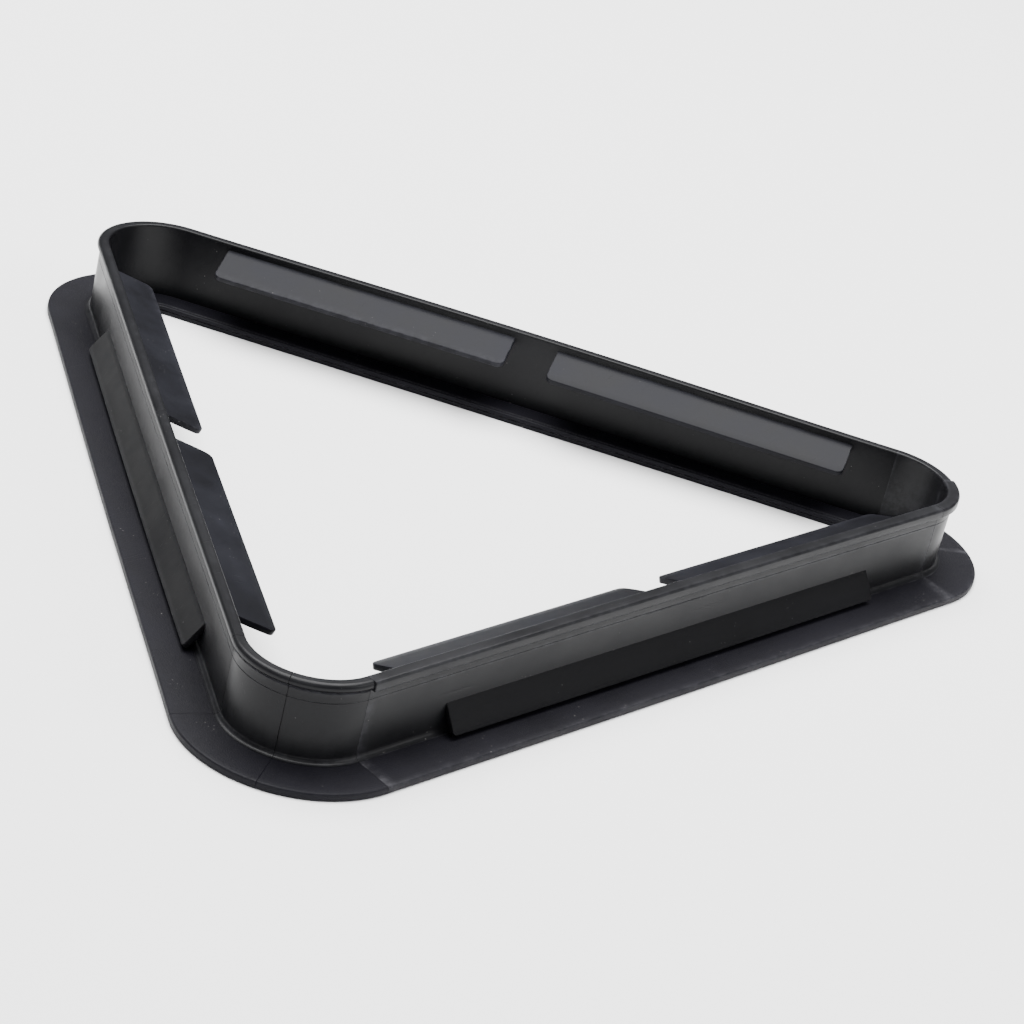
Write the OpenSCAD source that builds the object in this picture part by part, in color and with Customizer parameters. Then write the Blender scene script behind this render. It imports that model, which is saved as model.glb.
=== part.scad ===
// Triangle rack for pool balls, in millimetres, +Z up.
// Origin: centre of the footprint, on the table. The front side runs along X at negative Y.
// The inside is a triangle of ball centres; every profile is drawn as d (distance outward
// from that triangle) against z (height), then swept along the sides and round the corners.

/* [Balls] */
// diameter of one ball
ball_d = 57.15; // [52:0.05:60]
// balls along one side of the triangle
row_count = 5; // [5:1:6]

/* [Wall] */
// inner face of the upright wall
wall_in = 45; // [42:0.5:47]
// thickness of the upright wall
wall_t = 3.2; // [3:0.1:4]
// height of the rim above the table
rack_h = 34; // [34:0.5:40]

/* [Corners] */
// how far the centre of each corner's curve lies outside the centre of the corner ball
corner_tight = 21; // [16:0.5:22]

/* [Base] */
// outer edge of the flange
flange_out = 65; // [62:0.5:72]
// inner edge of the ledge
ledge_in = 33.5; // [30:0.5:36]
// thickness of the base at the foot of the wall
base_t = 3.6; // [3.4:0.1:4.4]
// thickness of the flange at its outer edge
edge_t = 3; // [2.4:0.1:3.2]

/* [Fins] */
// thickness of the guide and grip fins
fin_t = 2.2; // [1.8:0.1:2.4]
// gap between the free edge of a guide and the ball
guide_gap = 0.7; // [0.4:0.1:1.5]
// length of one guide
guide_len = 124; // [100:0.5:130]
// space between the two guides of a side
guide_space = 18; // [10:1:30]
// length of one finger grip
grip_len = 224; // [140:1:240]

/* [Hidden] */
ball_r = ball_d / 2;
side_len = (row_count - 1) * ball_d;
side_off = side_len / (2 * sqrt(3));
half_run = side_len / 2 + sqrt(3) * corner_tight;
centre_y = -(side_off + corner_tight) / 2;
wall_out = wall_in + wall_t;
clear = 0.1;

// foot rib of a wall, which sits in a groove in the base
rib_in = wall_in + 0.8;
rib_out = wall_out - 0.8;
rib_depth = 1.8;

// foot fillet and rim bead or lip on the outside of a wall
foot_out = 2;
foot_step = 0.15;
bead_r = 1.75;
bead_c = wall_out - 0.35;
lip_out = wall_out + 2;
lip_z = rack_h - 3.8;
rim_in_r = 0.8;
lip_r = 1;

// guides: top face runs from the wall down and inward to the ball
guide_root_z = rack_h - 2.8;
guide_tip_z = ball_r - 3.4;
guide_tip_d = ball_r + guide_gap;
guide_seat = 1.4;
guide_round = 3;

// grips: top face runs from the wall down and outward
grip_root_z = 15;
grip_tip_z = 5.5;
grip_tip_d = wall_out + 6.5;
grip_seat = 0.3;
grip_round = 1.5;

// tongues that hold the sections end to end
tongue_root = 1;
base_tongue_len = 4.5;
flange_tongue = [wall_out + 3.2, wall_out + 13.4];
ledge_tongue = [ledge_in + 2.6, wall_in - 2.4];
tongue_z = [1, 2.2];
wall_tongue_len = 4;
wall_tongue = [wall_in + 1, wall_out - 1];
wall_tongue_z = [8, 27];

// points of an arc in the d, z plane
function arc(cd, cz, r, a0, a1, n) =
  [for (i = [0 : n]) [cd + r * cos(a0 + (a1 - a0) * i / n), cz + r * sin(a0 + (a1 - a0) * i / n)]];

// base: flange outside, ledge inside, one thickness through, groove for the wall's rib
function base_points() = concat(
  [[ledge_in + 0.4, 0], [flange_out - 0.6, 0], [flange_out, 0.6]],
  arc(flange_out - 0.8, edge_t - 0.8, 0.8, 0, 90, 4),
  [
    [wall_out + foot_out + 0.8, base_t],
    [rib_out + clear, base_t],
    [rib_out + clear, base_t - rib_depth - clear],
    [rib_in - clear, base_t - rib_depth - clear],
    [rib_in - clear, base_t]
  ],
  arc(ledge_in + 0.9, base_t - 0.9, 0.9, 90, 180, 4),
  [
    [ledge_in, base_t / 2 + 0.35],
    [ledge_in + 0.5, base_t / 2],
    [ledge_in, base_t / 2 - 0.35],
    [ledge_in, 0.4]
  ]
);

// wall from the rib up to below the rim, outside face last
function wall_foot_points() = concat(
  [
    [wall_in, base_t],
    [rib_in, base_t],
    [rib_in, base_t - rib_depth],
    [rib_out, base_t - rib_depth],
    [rib_out, base_t],
    [wall_out + foot_out, base_t]
  ],
  arc(wall_out + foot_out, base_t + foot_out + foot_step, foot_out, 270, 180, 5)
);

// rim inside edge, shared by both rims
function rim_inner_points() = arc(wall_in + rim_in_r, rack_h - rim_in_r, rim_in_r, 90, 180, 4);

// rim with a rounded bead outside
function bead_points() = concat(
  [[wall_out, rack_h - 4.4]],
  arc(bead_c, rack_h - bead_r, bead_r, -65, 90, 8)
);

// rim with a wider, squarer lip outside
function lip_points() = concat(
  [[wall_out, lip_z], [lip_out - 0.3, lip_z], [lip_out, lip_z + 0.4]],
  arc(lip_out - lip_r, rack_h - lip_r, lip_r, 0, 90, 5)
);

module base_profile() {
  polygon(base_points());
}

module wall_profile(lip) {
  polygon(concat(wall_foot_points(), lip ? lip_points() : bead_points(), rim_inner_points()));
}

// put the children, drawn for the front side, on side k
module on_side(k) {
  translate([0, centre_y, 0])
    rotate([0, 0, 120 * k])
      translate([0, -side_off, 0])
        children();
}

// straight sweep of a d, z profile along a side
module run(length) {
  rotate([90, 0, -90])
    linear_extrude(height = length, center = true)
      children();
}

// sweep of a d, z profile round half a corner; half 0 starts at side k, half 1 ends at side k + 1
module turn(k, half) {
  on_side(k)
    translate([half_run, -corner_tight, 0])
      rotate([0, 0, -90 + 60 * half])
        rotate_extrude(angle = 60)
          translate([-corner_tight, 0])
            children();
}

// box spanning s along the side, d outward and z up
module block(s0, s1, d0, d1, z0, z1) {
  translate([s0, -d1, z0])
    cube([s1 - s0, d1 - d0, z1 - z0]);
}

// base tongues rooted tongue_root behind the plane s = 0 and reaching to base_tongue_len; g grows the slot
module base_tongues(g) {
  for (span = [flange_tongue, ledge_tongue])
    block(-tongue_root, base_tongue_len + g, span[0] - g, span[1] + g, tongue_z[0] - g, tongue_z[1] + g);
}

// wall tongue, the same way
module wall_tongues(g) {
  block(-tongue_root, wall_tongue_len + g, wall_tongue[0] - g, wall_tongue[1] + g,
        wall_tongue_z[0] - g, wall_tongue_z[1] + g);
}

// place the children where the straight side k meets the corner at its +s end or its -s end
module at_end(k, dir) {
  on_side(k)
    translate([dir * half_run, 0, 0])
      mirror([dir < 0 ? 1 : 0, 0, 0])
        children();
}

// place the children at the middle plane of corner k, pointing into its second half
module at_middle(k) {
  on_side(k)
    translate([half_run, -corner_tight, 0])
      rotate([0, 0, 60])
        translate([0, corner_tight, 0])
          children();
}

// a fin: slab from its seat in the wall to a free edge with rounded corners
// (d0, z0) and (d1, z1) are the top face at the wall and at the free edge
module fin(length, d0, z0, d1, z1, seat, round_r, g) {
  drop = sqrt(pow(d1 - d0, 2) + pow(z1 - z0, 2));
  tilt = atan2(z1 - z0, d1 - d0);
  flip = d1 < d0 ? 1 : 0;
  translate([0, -d0, z0])
    rotate([0, 0, -90])
      rotate([0, -tilt, 0])
        mirror([0, 0, flip])
          translate([-seat, 0, -fin_t - g])
            linear_extrude(height = fin_t + 2 * g)
              polygon(concat(
                [[0, -length / 2 - g]],
                arc(seat + drop + g - round_r, -length / 2 - g + round_r, round_r, -90, 0, 5),
                arc(seat + drop + g - round_r, length / 2 + g - round_r, round_r, 0, 90, 5),
                [[0, length / 2 + g]]
              ));
}

// the guide fin of one half of a side; dir -1 is the half before the middle
module guide_fin(k, dir, g) {
  on_side(k)
    translate([dir * (guide_space + guide_len) / 2, 0, 0])
      fin(guide_len, wall_in, guide_root_z, guide_tip_d, guide_tip_z, guide_seat, guide_round, g);
}

module grip_fin(k, g) {
  on_side(k)
    fin(grip_len, wall_out, grip_root_z, grip_tip_d, grip_tip_z, grip_seat, grip_round, g);
}

// straight length of the base of side k, with tongues at both ends
module side_base(k) {
  color([0.07, 0.07, 0.08]) {
    union() {
      on_side(k)
        run(2 * half_run)
          base_profile();
      for (dir = [-1, 1])
        at_end(k, dir)
          base_tongues(0);
    }
  }
}

// upright wall of side k, grooved for its fins; the front one carries the lip
module side_wall(k) {
  color([0.09, 0.09, 0.1]) {
    difference() {
      union() {
        on_side(k)
          run(2 * half_run)
            wall_profile(k == 0);
        for (dir = [-1, 1])
          at_end(k, dir)
            wall_tongues(0);
      }
      for (dir = [-1, 1])
        guide_fin(k, dir, clear);
      grip_fin(k, clear);
    }
  }
}

// inner fin that touches the balls
module ball_guide(k, dir) {
  color([0.12, 0.12, 0.15]) {
    guide_fin(k, dir, 0);
  }
}

// outer fin for the fingers
module finger_grip(k) {
  color([0.1, 0.1, 0.12]) {
    grip_fin(k, 0);
  }
}

// half corner of the base; the first half has the tongue, the second has the slot
module corner_base(k, half) {
  color([0.07, 0.07, 0.08]) {
    difference() {
      union() {
        turn(k, half)
          base_profile();
        if (half == 0)
          at_middle(k)
            base_tongues(0);
      }
      if (half == 0)
        at_end(k, 1)
          base_tongues(clear);
      if (half == 1)
        at_middle(k)
          base_tongues(clear);
      if (half == 1)
        at_end((k + 1) % 3, -1)
          base_tongues(clear);
    }
  }
}

// half corner of the wall; the lip runs on to the middle of the right corner
module corner_wall(k, half) {
  color([0.09, 0.09, 0.1]) {
    difference() {
      union() {
        turn(k, half)
          wall_profile(k == 0 && half == 0);
        if (half == 0)
          at_middle(k)
            wall_tongues(0);
      }
      if (half == 0)
        at_end(k, 1)
          wall_tongues(clear);
      if (half == 1)
        at_middle(k)
          wall_tongues(clear);
      if (half == 1)
        at_end((k + 1) % 3, -1)
          wall_tongues(clear);
    }
  }
}

side_base(0);  // front_base
side_base(1);  // right_base
side_base(2);  // left_base
side_wall(0);  // front_wall
side_wall(1);  // right_wall
side_wall(2);  // left_wall
ball_guide(0, -1);  // front_guide_left
ball_guide(0, 1);  // front_guide_right
ball_guide(1, -1);  // right_guide_front
ball_guide(1, 1);  // right_guide_back
ball_guide(2, -1);  // left_guide_back
ball_guide(2, 1);  // left_guide_front
finger_grip(0);  // front_grip
finger_grip(1);  // right_grip
finger_grip(2);  // left_grip
corner_base(0, 0);  // right_corner_base_front
corner_base(0, 1);  // right_corner_base_rear
corner_base(1, 0);  // apex_corner_base_right
corner_base(1, 1);  // apex_corner_base_left
corner_base(2, 0);  // left_corner_base_rear
corner_base(2, 1);  // left_corner_base_front
corner_wall(0, 0);  // right_corner_wall_front
corner_wall(0, 1);  // right_corner_wall_rear
corner_wall(1, 0);  // apex_corner_wall_right
corner_wall(1, 1);  // apex_corner_wall_left
corner_wall(2, 0);  // left_corner_wall_rear
corner_wall(2, 1);  // left_corner_wall_front
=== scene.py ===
"""Visual model of a moulded triangle ball rack.

Every section of the rack is swept from its own profile by one Geometry Nodes tree, every fin is
thickened from its outline by a second one, and all of them share a small family of plastics.
"""
import logging
import math
from dataclasses import dataclass
from enum import Enum

import bmesh
import bpy
from mathutils import Matrix, Vector


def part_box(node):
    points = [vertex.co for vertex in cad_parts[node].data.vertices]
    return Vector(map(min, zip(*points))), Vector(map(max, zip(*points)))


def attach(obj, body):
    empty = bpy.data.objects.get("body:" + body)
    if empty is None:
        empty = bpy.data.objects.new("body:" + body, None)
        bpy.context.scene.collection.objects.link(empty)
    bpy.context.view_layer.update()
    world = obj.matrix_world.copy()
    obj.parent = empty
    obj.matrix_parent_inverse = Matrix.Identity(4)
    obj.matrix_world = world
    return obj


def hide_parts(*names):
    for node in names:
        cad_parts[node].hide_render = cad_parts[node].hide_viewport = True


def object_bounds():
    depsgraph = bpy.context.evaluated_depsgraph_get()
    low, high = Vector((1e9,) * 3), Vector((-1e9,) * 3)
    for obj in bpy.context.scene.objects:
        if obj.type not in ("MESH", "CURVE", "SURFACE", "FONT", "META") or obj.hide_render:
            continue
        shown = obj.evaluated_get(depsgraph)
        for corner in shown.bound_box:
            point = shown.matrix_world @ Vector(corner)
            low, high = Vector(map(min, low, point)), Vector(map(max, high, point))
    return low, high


LOG = logging.getLogger("rack")
MM = 0.001
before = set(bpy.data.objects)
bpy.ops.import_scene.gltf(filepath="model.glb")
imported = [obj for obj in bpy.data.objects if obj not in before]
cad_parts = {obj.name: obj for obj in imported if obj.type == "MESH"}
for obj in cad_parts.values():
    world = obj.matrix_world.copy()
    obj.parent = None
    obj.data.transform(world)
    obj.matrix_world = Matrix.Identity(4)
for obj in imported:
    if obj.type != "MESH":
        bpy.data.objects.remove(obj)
START_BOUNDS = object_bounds()

Point = tuple[float, float]

# Sizes that the CAD boxes don't give, as in the part's source.
TONGUE = 4.5 * MM  # a side's base reaches this far past its run, into the corner's slot
WALL_T = 3.2 * MM
EDGE_T = 3.0 * MM  # flange at its free edge
FIN_T = 2.2 * MM
GUIDE_DROP = 2.8 * MM  # from the rim down to the top of a guide's root
GUIDE_TIP_Z = 25.2 * MM  # 25.175 mm in the part, rounded here
GUIDE_SEAT = 1.4 * MM
GUIDE_CORNER = 3.0 * MM
GRIP_ROOT_Z = 15 * MM
GRIP_TIP_Z = 5.5 * MM
GRIP_SEAT = 0.3 * MM
GRIP_CORNER = 1.5 * MM

# Sizes of the visual model only.
SEAM_EASE = 0.16 * MM  # bevel at section ends whose seam shows
FIN_EASE = 0.32 * MM
SECTION_WELD = 0.004 * MM
FIN_WELD = 0.01 * MM
SHARP_BEND = math.radians(38)
FIN_RIM_BEND = math.radians(60)
UNMARKED_BEND = 0.12  # sum of outward bends at a vertex, in radians, that leaves an edge without scuffs and without painted sheen
SIDE_COLUMNS = 65
CORNER_COLUMNS = 21
FIN_SPANS = 40
FIN_TURNS = 7
FIN_ROWS = 5

# What all the plastics share.
PLASTIC_IOR = 1.49
SCRATCHES = 0.25
GRAIN_DEPTH = 0.3 * MM
DUST_COLOUR = (0.32, 0.31, 0.3, 1)

# Angles round a corner: a side faces -Y, and half a corner turns a sixth of a circle.
FACING = -math.pi / 2
HALF_CORNER = math.pi / 3


class Part(Enum):
    """The kinds of moulded part, by the record's material slot."""

    BASE = "base"
    WALL = "wall"
    GUIDE = "guide"
    GRIP = "grip"


class Rim(Enum):
    """The outside of a wall's top edge."""

    BEAD = "bead"
    LIP = "lip"


def outward(y: float, centre_y: float, inradius: float) -> float:
    """Distance outward from the corner-centre triangle of a point on the front side.

    Args:
        y: the point's Y in the row frame.
        centre_y: Y of the triangle's middle.
        inradius: distance from the middle to a side.
    Returns:
        The distance, in metres.
    """
    return centre_y - y - inradius


@dataclass(frozen=True)
class Layout:
    """Main sizes of the rack in metres, read from the CAD boxes.

    Radii are measured outward from the triangle that joins the centres of the three corner curves.
    """

    half_run: float
    inradius: float
    centre_y: float
    flange_r: float
    ledge_r: float
    wall_in_r: float
    wall_out_r: float
    lip_r: float
    base_t: float
    height: float

    @classmethod
    def read(cls) -> "Layout":
        """Measures the CAD nodes.

        Returns:
            The sizes that every builder below works from.
        """
        base_low, base_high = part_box("front_base")
        wall_low, wall_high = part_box("front_wall")
        half_run = base_high[0] - TONGUE
        inradius = half_run / math.sqrt(3)
        flange_r = START_BOUNDS[1][0] - half_run
        centre_y = base_low[1] + inradius + flange_r
        wall_in = outward(wall_high[1], centre_y, inradius)
        return cls(
            half_run=half_run, inradius=inradius, centre_y=centre_y, flange_r=flange_r,
            ledge_r=outward(base_high[1], centre_y, inradius), wall_in_r=wall_in,
            wall_out_r=wall_in + WALL_T, lip_r=outward(wall_low[1], centre_y, inradius),
            base_t=base_high[2], height=wall_high[2],
        )

    def radius(self, y: float) -> float:
        """The outward distance of a point on the front side, from its Y."""
        return outward(y, self.centre_y, self.inradius)

    def side_matrix(self, side: int) -> Matrix:
        """Places a side drawn at the origin, outward along -Y.

        Args:
            side: 0 front, 1 right, 2 left.
        Returns:
            The matrix into the row frame.
        """
        return (Matrix.Translation((0, self.centre_y, 0))
                @ Matrix.Rotation(math.radians(120 * side), 4, "Z")
                @ Matrix.Translation((0, -self.inradius, 0)))

    def corner_matrix(self, side: int) -> Matrix:
        """Places a corner drawn round its own centre, at the +X end of a side."""
        return self.side_matrix(side) @ Matrix.Translation((self.half_run, 0, 0))


@dataclass(frozen=True)
class Warp:
    """How far moulding stress has bent one side, in metres at mid-length.

    Attributes:
        foot: outward bow at the table.
        rim: outward bow at the rim.
        crest: rise of the rim.
    """

    foot: float
    rim: float
    crest: float


WARPS = (
    Warp(foot=0.5 * MM, rim=-0.5 * MM, crest=0.0),
    Warp(foot=0.4 * MM, rim=0.2 * MM, crest=0.9 * MM),
    Warp(foot=0.6 * MM, rim=0.4 * MM, crest=0.2 * MM),
)


def arc(cr: float, cz: float, radius: float, start: float, end: float, steps: int) -> list[Point]:
    """Points of an arc in the radius, height plane.

    Args:
        cr: centre, radius direction.
        cz: centre, height.
        radius: radius of the arc.
        start: first angle in degrees.
        end: last angle in degrees.
        steps: number of spans.
    Returns:
        The points, both ends included.
    """
    angles = [math.radians(start + (end - start) * i / steps) for i in range(steps + 1)]
    return [(cr + radius * math.cos(a), cz + radius * math.sin(a)) for a in angles]


def base_profile(lay: Layout) -> list[Point]:
    """Section of the base: rounded flange edge, flat under the wall, grooved ledge edge.

    Args:
        lay: sizes of the rack.
    Returns:
        The outline, counter-clockwise from the ledge's foot.
    """
    top, middle = lay.base_t, lay.base_t / 2
    toe, foot, edge = 0.4 * MM, 0.7 * MM, 0.8 * MM
    notch, notch_depth = 0.4 * MM, 0.5 * MM
    flange_top = [
        (lay.flange_r - 2.6 * MM, EDGE_T + 0.07 * MM), (lay.wall_out_r + 9 * MM, top - 0.3 * MM),
        (lay.wall_out_r + 2.8 * MM, top), (lay.wall_out_r - 0.5 * MM, top)]
    ledge_top = [
        (lay.wall_in_r + 0.5 * MM, top), (lay.wall_in_r - 1.0 * MM, top),
        (lay.ledge_r + 2.6 * MM, top), (lay.ledge_r + 2.2 * MM, top - 0.35 * MM),
        (lay.ledge_r + 1.8 * MM, top)]
    return (
        arc(lay.ledge_r + toe, toe, toe, 180, 270, 3)
        + arc(lay.flange_r - foot, foot, foot, 270, 360, 4)
        + arc(lay.flange_r - edge, EDGE_T - edge, edge, 0, 86, 6)
        + flange_top + ledge_top
        + arc(lay.ledge_r + edge, top - edge, edge, 90, 180, 5)
        + [(lay.ledge_r, middle + notch), (lay.ledge_r + notch_depth, middle),
           (lay.ledge_r, middle - notch)]
    )


def wall_profile(lay: Layout, rim: Rim) -> list[Point]:
    """Section of an upright wall: foot fillet, faint parting line, rim, rounded inner edge.

    Args:
        lay: sizes of the rack.
        rim: the outside of the top edge.
    Returns:
        The outline, counter-clockwise from the inner face.
    """
    h, wo, wi = lay.height, lay.wall_out_r, lay.wall_in_r
    fillet, foot, shoulder = 2.0 * MM, lay.base_t - 0.3 * MM, h - 4.0 * MM
    line, half_line, guard, line_depth = h - 7.6 * MM, 0.15 * MM, 1.2 * MM, 0.12 * MM
    points = [(wi, shoulder), (wi, foot), (wo + fillet, foot)]
    points += arc(wo + fillet, lay.base_t + fillet + 0.1 * MM, fillet, 270, 180, 6)
    points += [(wo, line - guard), (wo, line - half_line), (wo - line_depth, line),
               (wo, line + half_line), (wo, line + guard)]
    if rim is Rim.LIP:
        under, over = 0.5 * MM, 1.1 * MM
        points += [(wo, shoulder), (wo + 0.3 * MM, h - 3.8 * MM)]
        points += arc(lay.lip_r - under, h - 3.3 * MM, under, -90, 0, 4)
        points += arc(lay.lip_r - over, h - over, over, 0, 90, 7)
    else:
        bead = 1.75 * MM
        points += [(wo, h - 4.6 * MM), (wo + 0.1 * MM, shoulder)]
        points += arc(wo - 0.35 * MM, h - bead, bead, -58, 90, 12)
    inner_edge = 0.8 * MM
    points += [(wi + 1.6 * MM, h - 0.12 * MM)]
    points += arc(wi + inner_edge, h - 0.85 * MM, inner_edge, 90, 180, 6)
    return points


def set_input(modifier: bpy.types.Modifier, name: str, value: object) -> None:
    """Sets one input of a Geometry Nodes modifier by its socket's identifier.

    Args:
        modifier: the modifier.
        name: the input's name in the tree.
        value: what to put there.
    """
    for item in modifier.node_group.interface.items_tree:
        if item.item_type == "SOCKET" and item.in_out == "INPUT" and item.name == name:
            modifier[item.identifier] = value
            return
    raise KeyError(name)


def new_tree(name: str, floats: dict[str, float], ints: dict[str, int]) -> bpy.types.NodeTree:
    """Makes a Geometry Nodes tree with a geometry in and out and a material input.

    Args:
        name: its name.
        floats: default of each size, by name.
        ints: default of each count, by name.
    Returns:
        The empty tree.
    """
    tree = bpy.data.node_groups.new(name, "GeometryNodeTree")
    tree.interface.new_socket("Geometry", in_out="INPUT", socket_type="NodeSocketGeometry")
    for key, value in floats.items():
        socket = tree.interface.new_socket(key, in_out="INPUT", socket_type="NodeSocketFloat")
        socket.default_value = value
    for key, value in ints.items():
        socket = tree.interface.new_socket(key, in_out="INPUT", socket_type="NodeSocketInt")
        socket.default_value = value
    tree.interface.new_socket("Material", in_out="INPUT", socket_type="NodeSocketMaterial")
    tree.interface.new_socket("Geometry", in_out="OUTPUT", socket_type="NodeSocketGeometry")
    return tree


class Wiring:
    """Small helper that adds and links nodes of one tree, shader or geometry."""

    def __init__(self, tree: bpy.types.NodeTree) -> None:
        """Starts on a tree with nothing placed.

        Args:
            tree: the tree to add to.
        """
        self.tree = tree
        self.count = 0

    def add(self, kind: str, inputs: dict[object, object] | None = None,
            **settings: object) -> bpy.types.Node:
        """Adds a node.

        Args:
            kind: the node's type name.
            inputs: value or output socket for each input, by name or index.
            settings: node properties.
        Returns:
            The node.
        """
        node = self.tree.nodes.new(kind)
        node.location = (220 * (self.count % 9), -260 * (self.count // 9))
        self.count += 1
        for key, value in settings.items():
            setattr(node, key, value)
        for key, value in (inputs or {}).items():
            if isinstance(value, bpy.types.NodeSocket):
                self.tree.links.new(value, node.inputs[key])
            else:
                node.inputs[key].default_value = value
        return node

    def math(self, operation: str, *values: object) -> bpy.types.NodeSocket:
        """Adds a math node on the given values and returns its result."""
        node = self.add("ShaderNodeMath", dict(enumerate(values)), operation=operation)
        return node.outputs[0]


def finish_tree(wiring: Wiring, geometry: bpy.types.NodeSocket,
                material: bpy.types.NodeSocket) -> None:
    """Ends a tree in Realize Instances and Set Material.

    Args:
        wiring: the tree's helper.
        geometry: what the tree has made.
        material: the material to set on it.
    """
    real = wiring.add("GeometryNodeRealizeInstances", {"Geometry": geometry})
    done = wiring.add("GeometryNodeSetMaterial", {
        "Geometry": real.outputs[0], "Material": material})
    wiring.add("NodeGroupOutput", {0: done.outputs[0]})


def sweep_tree() -> bpy.types.NodeTree:
    """Tree that sweeps a profile along a straight run or round part of a corner.

    The host mesh holds the profile's points in order, radius as X and height as Z.

    Returns:
        The tree.
    """
    tree = new_tree("RackSweep", {
        "Length": 0.1, "Start Angle": FACING, "Sweep Angle": 0.0, "Foot Bow": 0.0,
        "Rim Bow": 0.0, "Crest": 0.0, "Height": 0.034}, {"Columns": 33})
    w = Wiring(tree)
    get = w.add("NodeGroupInput").outputs
    size = w.add("GeometryNodeAttributeDomainSize", {"Geometry": get["Geometry"]}, component="MESH")
    count = size.outputs["Point Count"]
    spans = w.math("SUBTRACT", count, 1.0)
    grid = w.add("GeometryNodeMeshGrid", {
        "Size X": spans, "Size Y": 1.0, "Vertices X": count, "Vertices Y": get["Columns"]})
    place = w.add("GeometryNodeInputPosition")
    split = w.add("ShaderNodeSeparateXYZ", {0: place.outputs[0]})
    index = w.math("ROUND", w.math("ADD", split.outputs["X"], w.math("MULTIPLY", spans, 0.5)))
    along = w.math("ADD", split.outputs["Y"], 0.5)
    host = w.add("GeometryNodeInputPosition")
    sample = w.add("GeometryNodeSampleIndex", {"Geometry": get["Geometry"]},
                   data_type="FLOAT_VECTOR", domain="POINT")
    tree.links.new(host.outputs[0], sample.inputs["Value"])
    tree.links.new(index, sample.inputs["Index"])
    prof = w.add("ShaderNodeSeparateXYZ", {0: sample.outputs[0]})
    radius, height = prof.outputs["X"], prof.outputs["Z"]
    centred = w.math("SUBTRACT", w.math("MULTIPLY", along, 2.0), 1.0)
    round_hump = w.math("SUBTRACT", 1.0, w.math("MULTIPLY", centred, centred))
    hump = w.math("MULTIPLY", round_hump, round_hump)
    level = w.math("DIVIDE", height, get["Height"])
    lean = w.math("SUBTRACT", get["Rim Bow"], get["Foot Bow"])
    bow = w.math("ADD", get["Foot Bow"], w.math("MULTIPLY", level, lean))
    reach = w.math("ADD", radius, w.math("MULTIPLY", bow, hump))
    lift = w.math("MULTIPLY", w.math("MULTIPLY", get["Crest"], level), hump)
    angle = w.math("ADD", get["Start Angle"], w.math("MULTIPLY", along, get["Sweep Angle"]))
    run = w.math("MULTIPLY", get["Length"], w.math("SUBTRACT", along, 0.5))
    x = w.math("ADD", run, w.math("MULTIPLY", reach, w.math("COSINE", angle)))
    y = w.math("MULTIPLY", reach, w.math("SINE", angle))
    where = w.add("ShaderNodeCombineXYZ", {0: x, 1: y, 2: w.math("ADD", height, lift)})
    moved = w.add("GeometryNodeSetPosition", {
        "Geometry": grid.outputs[0], "Position": where.outputs[0]})
    finish_tree(w, moved.outputs[0], get["Material"])
    return tree


def fin_tree() -> bpy.types.NodeTree:
    """Tree that thickens the outline of a fin into a slab with two faces.

    Returns:
        The tree.
    """
    tree = new_tree("FinSlab", {"Thickness": FIN_T}, {})
    w = Wiring(tree)
    get = w.add("NodeGroupInput").outputs
    under = w.add("GeometryNodeExtrudeMesh", {
        "Mesh": get["Geometry"], "Offset Scale": get["Thickness"], "Individual": False},
        mode="FACES")
    back = w.add("GeometryNodeFlipFaces", {"Mesh": get["Geometry"]})
    both = w.add("GeometryNodeJoinGeometry")
    tree.links.new(under.outputs[0], both.inputs[0])
    tree.links.new(back.outputs[0], both.inputs[0])
    welded = w.add("GeometryNodeMergeByDistance", {
        "Geometry": both.outputs[0], "Distance": FIN_WELD})
    finish_tree(w, welded.outputs[0], get["Material"])
    return tree


def bake(host: bpy.types.Mesh, tree: bpy.types.NodeTree, values: dict[str, object],
         name: str) -> bpy.types.Mesh:
    """Runs a tree on a host mesh and keeps the result as a plain mesh.

    Args:
        host: mesh the tree reads.
        tree: the tree.
        values: its inputs by name.
        name: name of the mesh made.
    Returns:
        The new mesh.
    """
    carrier = bpy.data.objects.new(name + "_host", host)
    bpy.context.scene.collection.objects.link(carrier)
    modifier = carrier.modifiers.new("build", "NODES")
    modifier.node_group = tree
    for key, value in values.items():
        set_input(modifier, key, value)
    graph = bpy.context.evaluated_depsgraph_get()
    mesh = bpy.data.meshes.new_from_object(carrier.evaluated_get(graph), depsgraph=graph)
    mesh.name = name
    carrier.modifiers.remove(modifier)
    bpy.data.objects.remove(carrier)
    bpy.data.meshes.remove(host)
    return mesh


def store_wear_and_sheen(bm: bmesh.types.BMesh) -> None:
    """Stores how exposed each vertex is, from its edges' outward bends, as attribute wear; it marks
    scuffed edges and a painted sheen on convex edges.

    Args:
        bm: closed geometry with its normals outward.
    """
    layer = bm.verts.layers.float.new("wear_and_sheen")
    for vert in bm.verts:
        total = 0.0
        for edge in vert.link_edges:
            if len(edge.link_faces) == 2:
                total += max(0.0, edge.calc_face_angle_signed(0.0))
        vert[layer] = min(1.0, max(0.0, total - UNMARKED_BEND))


def make_piece(mesh: bpy.types.Mesh, bm: bmesh.types.BMesh, node: str,
               material: bpy.types.Material) -> bpy.types.Object:
    """Writes the edited mesh back, makes the object and puts it in the frame.

    Args:
        mesh: mesh to fill.
        bm: edited geometry, freed here.
        node: CAD node that the piece stands for.
        material: its plastic, on every face.
    Returns:
        The object.
    """
    bmesh.ops.recalc_face_normals(bm, faces=bm.faces)
    store_wear_and_sheen(bm)
    for face in bm.faces:
        face.material_index = 0
    mesh.materials.clear()
    mesh.materials.append(material)
    bm.to_mesh(mesh)
    bm.free()
    mesh.shade_smooth()
    mesh.set_sharp_from_angle(angle=SHARP_BEND)
    piece = bpy.data.objects.new(node + "_look", mesh)
    bpy.context.scene.collection.objects.link(piece)
    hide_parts(node)
    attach(piece, "root")
    LOG.info("%s: %d faces", piece.name, len(mesh.polygons))
    return piece


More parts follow.
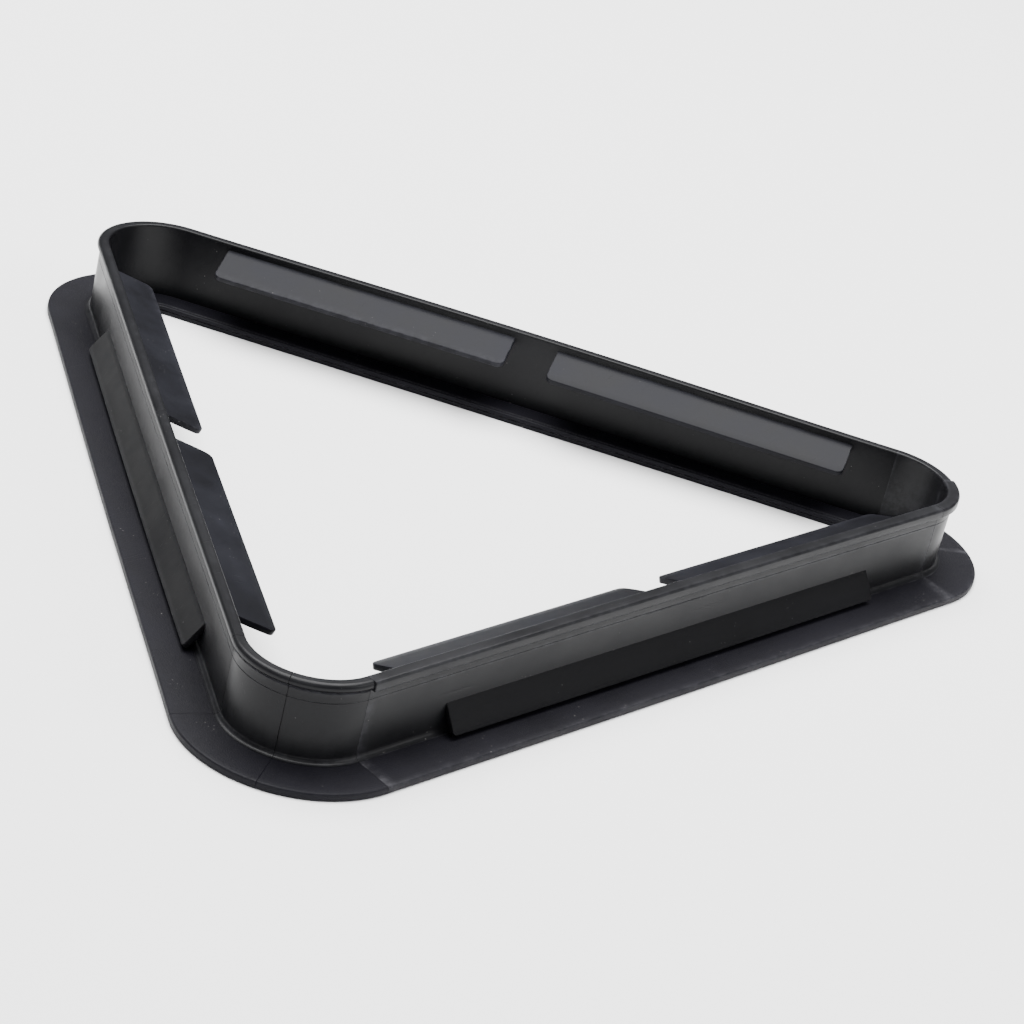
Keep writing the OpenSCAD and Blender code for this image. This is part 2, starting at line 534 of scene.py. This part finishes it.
def close_section(mesh: bpy.types.Mesh, eased: float) -> bmesh.types.BMesh:
    """Welds a swept strip into a tube and caps its ends.

    Args:
        mesh: open strip.
        eased: width of the bevel round each cap, 0 for none.
    Returns:
        The closed geometry.
    """
    bm = bmesh.new()
    bm.from_mesh(mesh)
    bmesh.ops.remove_doubles(bm, verts=bm.verts, dist=SECTION_WELD)
    rims = [e for e in bm.edges if e.is_boundary]
    caps = bmesh.ops.holes_fill(bm, edges=rims, sides=0)["faces"]
    if eased > 0:
        edges = {e for cap in caps for e in cap.edges}
        bmesh.ops.recalc_face_normals(bm, faces=bm.faces)
        bmesh.ops.bevel(bm, geom=list(edges), offset=eased, offset_type="OFFSET", segments=1,
                        affect="EDGES", profile=0.5)
    return bm


@dataclass(frozen=True)
class Section:
    """One swept length of base or wall.

    Attributes:
        node: CAD node it stands for.
        part: base or wall.
        side: side it belongs to, or whose +X end the corner is at.
        half: None for a straight run, 0 or 1 for the first or second half of a corner.
        rim: rim of a wall.
        eased: bevel at the ends, for seams that show.
    """

    node: str
    part: Part
    side: int
    half: int | None
    rim: Rim = Rim.BEAD
    eased: float = 0.0

    def build(self, lay: Layout, tree: bpy.types.NodeTree,
              material: bpy.types.Material) -> bpy.types.Object:
        """Sweeps, closes and places the section.

        Args:
            lay: sizes of the rack.
            tree: the sweep tree.
            material: its plastic.
        Returns:
            The finished piece.
        """
        points = base_profile(lay) if self.part is Part.BASE else wall_profile(lay, self.rim)
        host = bpy.data.meshes.new(self.node + "_profile")
        host.from_pydata([(r, 0.0, z) for r, z in points + points[:1]], [], [])
        values: dict[str, object] = {"Height": lay.height, "Material": material}
        if self.half is None:
            warp = WARPS[self.side]
            values |= {"Length": 2 * lay.half_run, "Start Angle": FACING, "Sweep Angle": 0.0,
                       "Foot Bow": warp.foot, "Rim Bow": warp.rim, "Crest": warp.crest,
                       "Columns": SIDE_COLUMNS}
            place = lay.side_matrix(self.side)
        else:
            values |= {"Length": 0.0, "Start Angle": FACING + self.half * HALF_CORNER,
                       "Sweep Angle": HALF_CORNER, "Columns": CORNER_COLUMNS}
            place = lay.corner_matrix(self.side)
        mesh = bake(host, tree, values, self.node)
        bm = close_section(mesh, self.eased)
        bm.transform(place)
        return make_piece(mesh, bm, self.node, material)


@dataclass(frozen=True)
class Fin:
    """A thin sloping slab on one side, with rounded free corners.

    Attributes:
        node: CAD node it stands for.
        part: guide or grip.
        side: side it belongs to.
        start: first end along the side, in metres.
        end: last end along the side.
        root: radius and height of the top face at the wall.
        tip: radius and height of the top face at the free edge.
        seat: how far the slab reaches into the wall.
        corner: radius of the free corners.
        thickness: thickness of the slab.
    """

    node: str
    part: Part
    side: int
    start: float
    end: float
    root: Point
    tip: Point
    seat: float
    corner: float
    thickness: float = FIN_T

    def outline(self) -> bpy.types.Mesh:
        """Grid of the slab's top face, along the fin, with its free corners rounded off.

        Returns:
            The open mesh, flat in XY, with the wall's end at Y = 0.
        """
        width = math.dist(self.root, self.tip) + self.seat
        length = self.end - self.start
        corner, flat = self.corner, self.end - self.start - 2 * self.corner
        inset = [corner * (1 - math.cos(math.pi / 2 * i / FIN_TURNS)) for i in range(FIN_TURNS + 1)]
        middle = [corner + flat * i / FIN_SPANS for i in range(1, FIN_SPANS)]
        stations = inset + middle + [length - i for i in reversed(inset)]
        verts, faces = [], []
        for s in stations:
            near = min(s, length - s)
            cut = 0.0
            if near < corner:
                cut = corner - math.sqrt(max(0.0, corner**2 - (corner - near) ** 2))
            for j in range(FIN_ROWS + 1):
                verts.append((self.start + s, (width - cut) * j / FIN_ROWS, 0.0))
        for i in range(len(stations) - 1):
            for j in range(FIN_ROWS):
                a = i * (FIN_ROWS + 1) + j
                faces.append((a, a + FIN_ROWS + 1, a + FIN_ROWS + 2, a + 1))
        mesh = bpy.data.meshes.new(self.node + "_outline")
        mesh.from_pydata(verts, [], faces)
        return mesh

    def build(self, lay: Layout, tree: bpy.types.NodeTree,
              material: bpy.types.Material) -> bpy.types.Object:
        """Thickens, rounds, tilts, warps and places the fin.

        Args:
            lay: sizes of the rack.
            tree: the slab tree.
            material: its plastic.
        Returns:
            The finished piece.
        """
        values = {"Thickness": self.thickness, "Material": material}
        mesh = bake(self.outline(), tree, values, self.node)
        bm = bmesh.new()
        bm.from_mesh(mesh)
        bmesh.ops.recalc_face_normals(bm, faces=bm.faces)
        rims = [e for e in bm.edges
                if len(e.link_faces) == 2 and e.calc_face_angle(0.0) > FIN_RIM_BEND]
        bmesh.ops.bevel(bm, geom=rims, offset=FIN_EASE, offset_type="OFFSET", segments=3,
                        affect="EDGES", profile=0.5)
        fall = Vector((self.tip[0] - self.root[0], self.tip[1] - self.root[1])).normalized()
        outer = 1.0 if fall.x > 0 else -1.0
        level = Vector((-fall.y, fall.x)) * outer
        warp = WARPS[self.side]
        top = max(v.co.z for v in bm.verts)
        for vert in bm.verts:
            s, along, deep = vert.co.x, vert.co.y - self.seat, vert.co.z - top
            radius = self.root[0] + fall.x * along + level.x * deep
            height = self.root[1] + fall.y * along + level.y * deep
            hump = (1 - (s / lay.half_run) ** 2) ** 2
            share = height / lay.height
            radius += hump * (warp.foot + share * (warp.rim - warp.foot))
            height += warp.crest * share * hump
            vert.co = (s, -radius, height)
        bm.transform(lay.side_matrix(self.side))
        return make_piece(mesh, bm, self.node, material)


def guides_and_grips(lay: Layout) -> list[Fin]:
    """Reads the fins' places from the CAD boxes of the front side and repeats them on each side.

    Args:
        lay: sizes of the rack.
    Returns:
        The six guides, then the three grips.
    """
    low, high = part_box("front_guide_right")
    root = (lay.wall_in_r, lay.height - GUIDE_DROP)
    tip = (lay.radius(high[1]), GUIDE_TIP_Z)
    pairs = (("front_guide_left", "front_guide_right"), ("right_guide_front", "right_guide_back"),
             ("left_guide_back", "left_guide_front"))
    spans = ((-high[0], -low[0]), (low[0], high[0]))
    fins = [Fin(name, Part.GUIDE, side, start, end, root, tip, GUIDE_SEAT, GUIDE_CORNER)
            for side, pair in enumerate(pairs) for name, (start, end) in zip(pair, spans)]
    low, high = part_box("front_grip")
    root = (lay.wall_out_r, GRIP_ROOT_Z)
    tip = (lay.radius(low[1]), GRIP_TIP_Z)
    fins += [Fin(name, Part.GRIP, side, low[0], high[0], root, tip, GRIP_SEAT, GRIP_CORNER)
             for side, name in enumerate(("front_grip", "right_grip", "left_grip"))]
    return fins


def sections() -> list[Section]:
    """Every swept section, with the rim and the end bevels each one shows.

    Returns:
        The six straight sections, then the twelve halves of the corners.
    """
    made = []
    for side, name in enumerate(("front", "right", "left")):
        rim, eased = (Rim.LIP, SEAM_EASE) if side == 0 else (Rim.BEAD, 0.0)
        made.append(Section(name + "_base", Part.BASE, side, None))
        made.append(Section(name + "_wall", Part.WALL, side, None, rim, eased))
    halves = (("right_corner", "front", "rear"), ("apex_corner", "right", "left"),
              ("left_corner", "rear", "front"))
    for side, (corner, *ends) in enumerate(halves):
        for half, end in enumerate(ends):
            rim = Rim.LIP if (side, half) == (0, 0) else Rim.BEAD
            eased = SEAM_EASE if side == 2 else 0.0
            made.append(Section(f"{corner}_base_{end}", Part.BASE, side, half, eased=eased))
            made.append(Section(f"{corner}_wall_{end}", Part.WALL, side, half, rim, eased))
    return made


def group(name: str, inputs: dict[str, tuple[str, object]],
          outputs: dict[str, str]) -> tuple[bpy.types.NodeTree, Wiring]:
    """Makes an empty shader group with typed sockets.

    Args:
        name: its name.
        inputs: socket type and default by name.
        outputs: socket type by name.
    Returns:
        The tree and a wiring helper for it.
    """
    tree = bpy.data.node_groups.new(name, "ShaderNodeTree")
    for key, (kind, value) in inputs.items():
        socket = tree.interface.new_socket(key, in_out="INPUT", socket_type=kind)
        if value is not None:
            socket.default_value = value
    for key, kind in outputs.items():
        tree.interface.new_socket(key, in_out="OUTPUT", socket_type=kind)
    return tree, Wiring(tree)


def mottle_group() -> bpy.types.NodeTree:
    """Cloudy colour and gloss of moulded plastic, with scuffed edges that also carry a painted
    sheen, and fine dust.

    Returns:
        The shared colour group.
    """
    flt, vec, col = "NodeSocketFloat", "NodeSocketVector", "NodeSocketColor"
    tree, w = group("PlasticMottle", {
        "Vector": (vec, None), "Body": (col, (0.02, 0.02, 0.025, 1)),
        "Cloud": (col, (0.04, 0.04, 0.05, 1)), "Rubbed And Sheen": (col, (0.1, 0.1, 0.11, 1)),
        "Cloudiness": (flt, 0.5), "Wear And Sheen": (flt, 0.5), "Dust": (flt, 0.3),
        "Mean Roughness": (flt, 0.5)}, {"Color": col, "Roughness": flt})
    get = w.add("NodeGroupInput").outputs
    place = get["Vector"]
    cloud = w.add("ShaderNodeTexNoise", {
        "Vector": place, "Scale": 38.0, "Detail": 5.0, "Roughness": 0.62})
    streak_map = w.add("ShaderNodeMapping", {"Vector": place, "Scale": (14.0, 14.0, 90.0)})
    streak = w.add("ShaderNodeTexNoise", {
        "Vector": streak_map.outputs[0], "Scale": 1.0, "Detail": 3.0})
    mixed = w.math("ADD", w.math("MULTIPLY", cloud.outputs[0], 0.7),
                   w.math("MULTIPLY", streak.outputs[0], 0.3))
    soft = w.add("ShaderNodeMapRange", {0: mixed, 1: 0.38, 2: 0.66, 3: 0.0, 4: 1.0}).outputs[0]
    share = w.math("MULTIPLY", soft, get["Cloudiness"])
    body = w.add("ShaderNodeMix", {0: share, 6: get["Body"], 7: get["Cloud"]}, data_type="RGBA")
    # Convex edges get the rubbed colour from the wear attribute: partly scuffs, partly a painted
    # sheen that stands in for light caught by the edges.
    edge = w.add("ShaderNodeAttribute", attribute_name="wear_and_sheen", attribute_type="GEOMETRY")
    patch = w.add("ShaderNodeTexNoise", {
        "Vector": place, "Scale": 210.0, "Detail": 6.0, "Roughness": 0.7})
    bite = w.add("ShaderNodeMapRange", {0: patch.outputs[0], 1: 0.42, 2: 0.62, 3: 0.15, 4: 1.0})
    worn_and_sheen = w.math("MULTIPLY", edge.outputs["Fac"], bite.outputs[0])
    worn_and_sheen = w.math("MULTIPLY", worn_and_sheen, get["Wear And Sheen"])
    rubbed_and_sheen = w.add("ShaderNodeMix", {0: worn_and_sheen, 6: body.outputs[2], 7: get["Rubbed And Sheen"]},
                   data_type="RGBA")
    speck = w.add("ShaderNodeTexVoronoi", {"Vector": place, "Scale": 520.0, "Randomness": 1.0})
    near = w.add("ShaderNodeMapRange", {
        0: speck.outputs["Distance"], 1: 0.05, 2: 0.14, 3: 1.0, 4: 0.0})
    sparse = w.add("ShaderNodeTexNoise", {"Vector": place, "Scale": 95.0, "Detail": 2.0})
    gate = w.add("ShaderNodeMapRange", {0: sparse.outputs[0], 1: 0.6, 2: 0.7, 3: 0.0, 4: 1.0})
    dust = w.math("MULTIPLY", near.outputs[0], gate.outputs[0])
    dust = w.math("MULTIPLY", dust, get["Dust"])
    colour = w.add("ShaderNodeMix", {0: dust, 6: rubbed_and_sheen.outputs[2], 7: DUST_COLOUR},
                   data_type="RGBA")
    uneven = w.math("MULTIPLY", w.math("SUBTRACT", soft, 0.5), 0.14)
    rough = w.math("ADD", get["Mean Roughness"], uneven)
    rough = w.math("ADD", rough, w.math("MULTIPLY", dust, 0.3))
    w.add("NodeGroupOutput", {"Color": colour.outputs[2], "Roughness": rough})
    return tree


def grain_group() -> bpy.types.NodeTree:
    """Height of the mould's texture: sandy grain, soft waves and a few hair scratches.

    Returns:
        The shared height group.
    """
    flt, vec = "NodeSocketFloat", "NodeSocketVector"
    tree, w = group("MouldGrain", {
        "Vector": (vec, None), "Sand": (flt, 0.5), "Wave": (flt, 0.5), "Scratch": (flt, 0.2)},
        {"Height": flt})
    get = w.add("NodeGroupInput").outputs
    sand = w.add("ShaderNodeTexNoise", {
        "Vector": get["Vector"], "Scale": 1500.0, "Detail": 4.0, "Roughness": 0.65})
    wave = w.add("ShaderNodeTexNoise", {"Vector": get["Vector"], "Scale": 55.0, "Detail": 3.0})
    hair = w.add("ShaderNodeMapping", {
        "Vector": get["Vector"], "Rotation": (0.3, 0.5, 0.9), "Scale": (30.0, 900.0, 300.0)})
    line = w.add("ShaderNodeTexNoise", {"Vector": hair.outputs[0], "Scale": 1.0, "Detail": 1.0})
    cut = w.add("ShaderNodeMapRange", {0: line.outputs[0], 1: 0.7, 2: 0.76, 3: 0.0, 4: 1.0})
    total = w.math("ADD", w.math("MULTIPLY", sand.outputs[0], get["Sand"]),
                   w.math("MULTIPLY", wave.outputs[0], get["Wave"]))
    total = w.math("SUBTRACT", total, w.math("MULTIPLY", cut.outputs[0], get["Scratch"]))
    w.add("NodeGroupOutput", {"Height": total})
    return tree


@dataclass(frozen=True)
class Finish:
    """One plastic finish.

    Attributes:
        name: material name.
        body: main colour, linear.
        cloud: colour of the flow clouds.
        rubbed_and_sheen: colour of scuffed edges and of the painted sheen on convex edges.
        cloudiness: share of clouds.
        wear_and_sheen: strength of the edge scuffs and of the painted edge sheen.
        dust: strength of dust specks.
        roughness: mean roughness.
        specular: reflection level.
        sand: weight of the sandy grain.
        wave: weight of the soft waves.
        bump: bump strength.
    """

    name: str
    body: tuple[float, float, float]
    cloud: tuple[float, float, float]
    rubbed_and_sheen: tuple[float, float, float]
    cloudiness: float
    wear_and_sheen: float
    dust: float
    roughness: float
    specular: float
    sand: float
    wave: float
    bump: float

    def material(self, mottle: bpy.types.NodeTree, grain: bpy.types.NodeTree) -> bpy.types.Material:
        """Builds the material on object coordinates.

        Args:
            mottle: the shared colour group.
            grain: the shared height group.
        Returns:
            The material.
        """
        made = bpy.data.materials.new(self.name)
        made.use_nodes = True
        tree = made.node_tree
        tree.nodes.clear()
        w = Wiring(tree)
        place = w.add("ShaderNodeTexCoord").outputs["Object"]
        colour = w.add("ShaderNodeGroup", node_tree=mottle)
        height = w.add("ShaderNodeGroup", node_tree=grain)
        shades = {"Body": (*self.body, 1), "Cloud": (*self.cloud, 1), "Rubbed And Sheen": (*self.rubbed_and_sheen, 1),
                  "Cloudiness": self.cloudiness, "Wear And Sheen": self.wear_and_sheen, "Dust": self.dust,
                  "Mean Roughness": self.roughness}
        reliefs = {"Sand": self.sand, "Wave": self.wave, "Scratch": SCRATCHES}
        for node, values in ((colour, shades), (height, reliefs)):
            tree.links.new(place, node.inputs["Vector"])
            for key, value in values.items():
                node.inputs[key].default_value = value
        bump = w.add("ShaderNodeBump", {
            "Height": height.outputs[0], "Strength": self.bump, "Distance": GRAIN_DEPTH})
        shade = w.add("ShaderNodeBsdfPrincipled", {
            "Base Color": colour.outputs["Color"], "Roughness": colour.outputs["Roughness"],
            "Normal": bump.outputs[0], "IOR": PLASTIC_IOR, "Specular IOR Level": self.specular})
        w.add("ShaderNodeOutputMaterial", {"Surface": shade.outputs[0]})
        return made


# The rubbed colours paint a sheen on convex edges, strongest on the base's flange edge, as well as
# scuffs.
FINISHES = {
    Part.BASE: Finish(
        name="SandyBlackPlastic", body=(0.0042, 0.004, 0.006), cloud=(0.008, 0.0076, 0.0112),
        rubbed_and_sheen=(0.06, 0.059, 0.066), cloudiness=0.6, wear_and_sheen=0.65, dust=0.6, roughness=0.54,
        specular=0.11, sand=1.0, wave=0.25, bump=0.55),
    Part.WALL: Finish(
        name="SatinBlackPlastic", body=(0.0048, 0.0048, 0.0056), cloud=(0.0088, 0.0088, 0.0104),
        rubbed_and_sheen=(0.055, 0.055, 0.063), cloudiness=0.6, wear_and_sheen=0.4, dust=0.35, roughness=0.35,
        specular=0.13, sand=0.12, wave=0.9, bump=0.3),
    Part.GUIDE: Finish(
        name="CloudyBlackPlastic", body=(0.0042, 0.0042, 0.0055), cloud=(0.0115, 0.0118, 0.0155),
        rubbed_and_sheen=(0.06, 0.06, 0.07), cloudiness=0.9, wear_and_sheen=0.4, dust=0.3, roughness=0.42,
        specular=0.07, sand=0.1, wave=0.9, bump=0.28),
    Part.GRIP: Finish(
        name="GripBlackPlastic", body=(0.0026, 0.0026, 0.0031), cloud=(0.0048, 0.0048, 0.006),
        rubbed_and_sheen=(0.05, 0.05, 0.056), cloudiness=0.6, wear_and_sheen=0.35, dust=0.35, roughness=0.42,
        specular=0.07, sand=0.14, wave=0.8, bump=0.3),
}


@dataclass(frozen=True)
class Softbox:
    """A rectangular studio light.

    Attributes:
        name: its name.
        azimuth: where it stands, degrees from +X.
        elevation: degrees above the table.
        distance: metres from the rack.
        size: width and height in metres.
        power: watts.
    """

    name: str
    azimuth: float
    elevation: float
    distance: float
    size: tuple[float, float]
    power: float

    def build(self) -> None:
        """Adds the light, aimed at the rack."""
        data = bpy.data.lights.new(self.name, "AREA")
        data.shape = "RECTANGLE"
        data.size, data.size_y = self.size
        data.energy = self.power
        lamp = bpy.data.objects.new(self.name, data)
        az, el = math.radians(self.azimuth), math.radians(self.elevation)
        toward = Vector((math.cos(az) * math.cos(el), math.sin(az) * math.cos(el), math.sin(el)))
        lamp.location = toward * self.distance
        lamp.rotation_euler = (-lamp.location).to_track_quat("-Z", "Y").to_euler()
        bpy.context.scene.collection.objects.link(lamp)


LIGHTS = (
    Softbox("Key", azimuth=215, elevation=40, distance=2.4, size=(1.8, 1.4), power=12),
    Softbox("Top", azimuth=60, elevation=78, distance=2.2, size=(2.4, 2.4), power=250),
    Softbox("Side", azimuth=300, elevation=30, distance=2.6, size=(1.4, 1.2), power=26),
)


@dataclass(frozen=True)
class Studio:
    """Floor, world, lights and camera.

    Attributes:
        azimuth: compass direction the camera looks, degrees from +Y toward +X.
        elevation: degrees it looks down.
        roll: turn about its own axis, degrees.
        distance: metres to the point it aims at.
        focal: focal length in millimetres.
        aim: that point, from the middle of the triangle at table height.
        floor_half: half the floor's width in metres.
        floor_grey: the floor's linear grey.
        sky: brightness of the sky.
    """

    azimuth: float = 50.9
    elevation: float = 26.3
    roll: float = -13.75
    distance: float = 1.2
    focal: float = 114.8
    aim: tuple[float, float, float] = (-0.002, -0.0325, 0.0215)
    floor_half: float = 6.0
    floor_grey: float = 0.9
    sky: float = 0.26

    def floor(self) -> None:
        """Adds the pale floor."""
        mesh = bpy.data.meshes.new("floor")
        half = self.floor_half
        corners = [(-half, -half, 0), (half, -half, 0), (half, half, 0), (-half, half, 0)]
        mesh.from_pydata(corners, [], [(0, 1, 2, 3)])
        made = bpy.data.materials.new("PaleFloor")
        made.use_nodes = True
        shade = made.node_tree.nodes["Principled BSDF"]
        shade.inputs["Base Color"].default_value = (*[self.floor_grey] * 3, 1)
        shade.inputs["Roughness"].default_value = 0.9
        shade.inputs["Specular IOR Level"].default_value = 0.0
        mesh.materials.append(made)
        obj = bpy.data.objects.new("floor", mesh)
        bpy.context.scene.collection.objects.link(obj)

    def world(self) -> None:
        """Adds an even pale sky."""
        sky = bpy.data.worlds.new("StudioSky")
        sky.use_nodes = True
        back = sky.node_tree.nodes["Background"]
        back.inputs["Color"].default_value = (0.95, 0.97, 1.0, 1)
        back.inputs["Strength"].default_value = self.sky
        bpy.context.scene.world = sky

    def lights(self) -> None:
        """Adds the soft lights."""
        for box in LIGHTS:
            box.build()

    def camera(self, lay: Layout) -> None:
        """Adds the camera at the picture's viewing angle.

        Args:
            lay: sizes of the rack, for the middle of the triangle.
        """
        az, el, roll = (math.radians(v) for v in (self.azimuth, self.elevation, self.roll))
        ahead = Vector((math.sin(az) * math.cos(el), math.cos(az) * math.cos(el), -math.sin(el)))
        right = ahead.cross(Vector((0, 0, 1))).normalized()
        down = ahead.cross(right)
        across = right * math.cos(roll) + down * math.sin(roll)
        below = down * math.cos(roll) - right * math.sin(roll)
        data = bpy.data.cameras.new("Camera")
        data.lens = self.focal
        data.clip_start, data.clip_end = 0.01, 50
        cam = bpy.data.objects.new("Camera", data)
        spot = Vector(self.aim) + Vector((0, lay.centre_y, 0)) - ahead * self.distance
        turn = Matrix((across, -below, -ahead)).transposed().to_4x4()
        cam.matrix_world = Matrix.Translation(spot) @ turn
        bpy.context.scene.collection.objects.link(cam)
        bpy.context.scene.camera = cam


def main() -> None:
    """Builds the rack, its plastics and the studio."""
    logging.basicConfig(level=logging.INFO, format="%(message)s")
    lay = Layout.read()
    mottle, grain = mottle_group(), grain_group()
    plastics = {part: finish.material(mottle, grain) for part, finish in FINISHES.items()}
    sweep, slab = sweep_tree(), fin_tree()
    for section in sections():
        section.build(lay, sweep, plastics[section.part])
    for fin in guides_and_grips(lay):
        fin.build(lay, slab, plastics[fin.part])
    studio = Studio()
    studio.floor()
    studio.world()
    studio.lights()
    studio.camera(lay)


if __name__ == "__main__":
    main()
